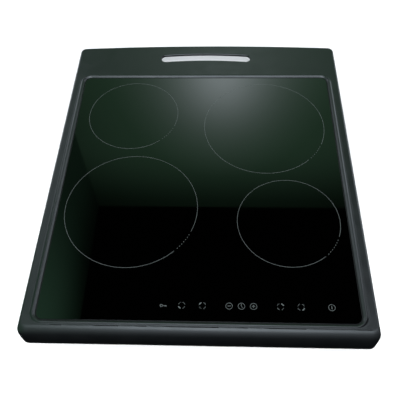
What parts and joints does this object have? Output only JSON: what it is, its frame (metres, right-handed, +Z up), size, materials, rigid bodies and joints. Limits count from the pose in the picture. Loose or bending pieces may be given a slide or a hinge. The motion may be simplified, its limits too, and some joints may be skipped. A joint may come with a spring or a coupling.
{
  "type": "four-zone electric hob top",
  "caption": "Glass-ceramic cooking top in a rolled steel surround, with radiant heaters on leaf springs, touch controls and a vent slot behind.",
  "frame": {"origin": "centre of the footprint, on the surface that the base tray stands on", "axes": "+X to the user's right, +Y to the back of the cooker, +Z up"},
  "size_m": [0.498, 0.6, 0.0562],
  "materials": {
    "enamel": "satin vitreous enamel, dark grey with a green cast",
    "glass_ceramic": "polished black glass-ceramic with pale printed marks",
    "silicone": "matt black silicone",
    "galvanised": "galvanised sheet with a dull sheen",
    "spring_steel": "bright rolled spring steel",
    "fibre": "pressed mineral fibre, chalky",
    "ribbon": "heat-darkened resistance ribbon",
    "ceramic": "unglazed white ceramic",
    "black_plastic": "moulded heat-proof plastic, fine grain",
    "circuit_board": "green solder mask",
    "display": "dark red translucent plastic",
    "relay_blue": "blue moulded case",
    "winding": "taped copper winding on a core",
    "lead_sleeve": "white silicone sleeving",
    "supply_sleeve": "black rubber sheath",
    "zinc": "zinc-plated"
  },
  "bodies": {
    "hob": {"hob_frame": "enamel", "glass_plate": "glass_ceramic", "glass_seal": "silicone", "base_tray": "galvanised", "heat_shield": "galvanised", "heater_spring_rear_left": "spring_steel", "heater_spring_rear_right": "spring_steel", "heater_spring_front_left": "spring_steel", "heater_spring_front_right": "spring_steel", "heater_lead_rear_left": "lead_sleeve", "heater_lead_rear_right": "lead_sleeve", "heater_lead_front_left": "lead_sleeve", "heater_lead_front_right": "lead_sleeve", "control_housing": "black_plastic", "power_board": "circuit_board", "touch_board": "circuit_board", "display_left": "display", "display_timer": "display", "display_right": "display", "relay_1": "relay_blue", "relay_2": "relay_blue", "relay_3": "relay_blue", "relay_4": "relay_blue", "transformer": "winding", "terminal_housing": "black_plastic", "terminal_block": "ceramic", "cable_gland": "black_plastic", "supply_lead": "supply_sleeve", "side_bracket_front_left": "galvanised", "side_bracket_rear_left": "galvanised", "side_bracket_front_right": "galvanised", "side_bracket_rear_right": "galvanised", "tray_screw_front_left": "zinc", "tray_screw_rear_left": "zinc", "tray_screw_front_right": "zinc", "tray_screw_rear_right": "zinc", "rear_hook_left": "galvanised", "rear_hook_right": "galvanised", "front_tab_left": "galvanised", "front_tab_right": "galvanised"},
    "heater_rear_left": {"heater_pan_rear_left": "galvanised", "insulation_rear_left": "fibre", "element_rear_left": "ribbon", "limiter_rear_left": "ceramic"},
    "heater_rear_right": {"heater_pan_rear_right": "galvanised", "insulation_rear_right": "fibre", "element_rear_right": "ribbon", "limiter_rear_right": "ceramic"},
    "heater_front_left": {"heater_pan_front_left": "galvanised", "insulation_front_left": "fibre", "element_front_left": "ribbon", "limiter_front_left": "ceramic"},
    "heater_front_right": {"heater_pan_front_right": "galvanised", "insulation_front_right": "fibre", "element_front_right": "ribbon", "limiter_front_right": "ceramic"},
    "lid": {"terminal_lid": "black_plastic"}
  },
  "joints": [
    {"name": "heater_float_rear_left", "type": "slide", "parent": "hob", "child": "heater_rear_left", "axis": [0, 0, 1], "range_m": [-0.006, 0], "stiffness_N_per_m": 4000, "springref_m": 0.008, "deforming": ["heater_spring_rear_left"]},
    {"name": "heater_float_rear_right", "type": "slide", "parent": "hob", "child": "heater_rear_right", "axis": [0, 0, 1], "range_m": [-0.006, 0], "stiffness_N_per_m": 4000, "springref_m": 0.008, "deforming": ["heater_spring_rear_right"]},
    {"name": "heater_float_front_left", "type": "slide", "parent": "hob", "child": "heater_front_left", "axis": [0, 0, 1], "range_m": [-0.006, 0], "stiffness_N_per_m": 4000, "springref_m": 0.008, "deforming": ["heater_spring_front_left"]},
    {"name": "heater_float_front_right", "type": "slide", "parent": "hob", "child": "heater_front_right", "axis": [0, 0, 1], "range_m": [-0.006, 0], "stiffness_N_per_m": 4000, "springref_m": 0.008, "deforming": ["heater_spring_front_right"]},
    {"name": "terminal_lid_hinge", "type": "hinge", "parent": "hob", "child": "lid", "pos_m": [-0.017, 0.233, 0.0394], "axis": [1, 0, 0], "range_deg": [0, 75]}
  ]
}
